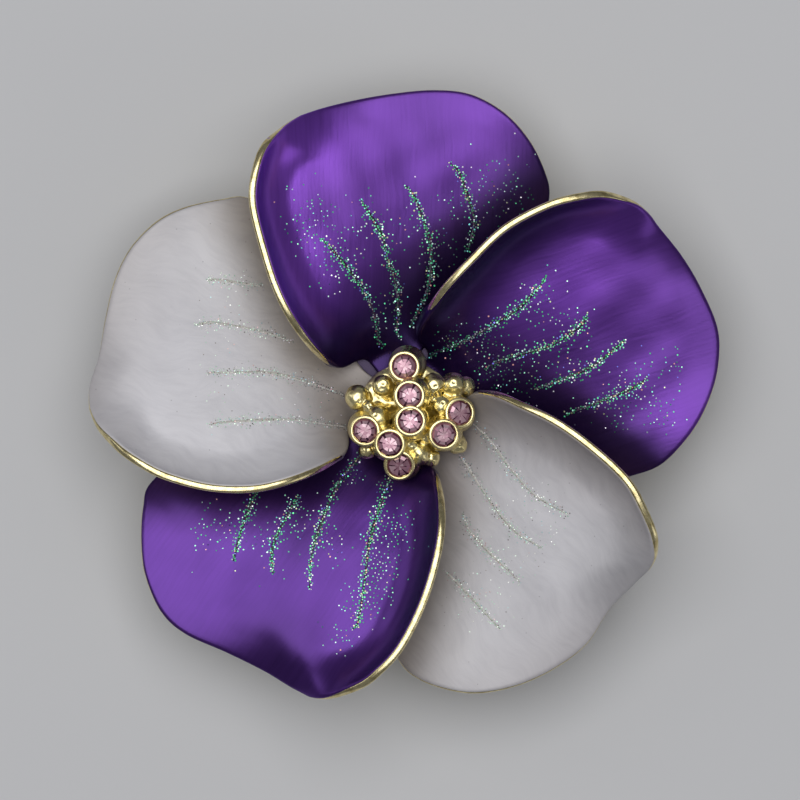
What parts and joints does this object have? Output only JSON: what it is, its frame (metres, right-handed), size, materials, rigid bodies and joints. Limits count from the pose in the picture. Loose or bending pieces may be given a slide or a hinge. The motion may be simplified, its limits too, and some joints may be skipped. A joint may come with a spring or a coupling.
{
  "type": "flower brooch with locking pin",
  "caption": "Pinwheel flower brooch with enamelled petals, a set-stone centre and a hinged pin with a turning lock on its back.",
  "frame": {"origin": "bottom centre of the bounding box, the flower lying on its back on the hinge and catch", "axes": "+Z out of the flower face, +Y towards the top petal, +X to the right seen from the face; the pin lies along X"},
  "size_m": [0.0606, 0.0584, 0.0183],
  "materials": {
    "gold_plate": "polished pale gold plating",
    "purple_enamel": "satin metallic enamel with glitter strokes",
    "pearl_enamel": "pearl satin enamel with glitter strokes",
    "rose_stone": "faceted, foil backed",
    "pin_wire": "drawn, gold plated"
  },
  "bodies": {
    "brooch": {"petal_top": "gold_plate", "petal_right": "gold_plate", "petal_lower_right": "gold_plate", "petal_lower_left": "gold_plate", "petal_left": "gold_plate", "enamel_top": "purple_enamel", "enamel_right": "purple_enamel", "enamel_lower_right": "pearl_enamel", "enamel_lower_left": "purple_enamel", "enamel_left": "pearl_enamel", "spacer_disc": "gold_plate", "centre_cluster": "gold_plate", "centre_rivet": "gold_plate", "stone_top": "rose_stone", "stone_upper_middle": "rose_stone", "stone_middle": "rose_stone", "stone_lower_left": "rose_stone", "stone_lower_right": "rose_stone", "stone_left": "rose_stone", "stone_right": "rose_stone", "stone_bottom": "rose_stone", "pin_plate": "gold_plate", "hinge_bracket": "gold_plate", "hinge_rivet": "gold_plate", "catch_bracket": "gold_plate"},
    "pin": {"pin_stem": "pin_wire"},
    "lock": {"lock_barrel": "gold_plate"}
  },
  "joints": [
    {"name": "pin_hinge", "type": "hinge", "parent": "brooch", "child": "pin", "pos_m": [-0.01543, 0.00334, 0.0019], "axis": [0, 1, 0], "range_deg": [0, 100]},
    {"name": "lock_turn", "type": "hinge", "parent": "brooch", "child": "lock", "pos_m": [0.01457, 0.00334, 0.0019], "axis": [1, 0, 0], "range_deg": [0, 90]}
  ]
}
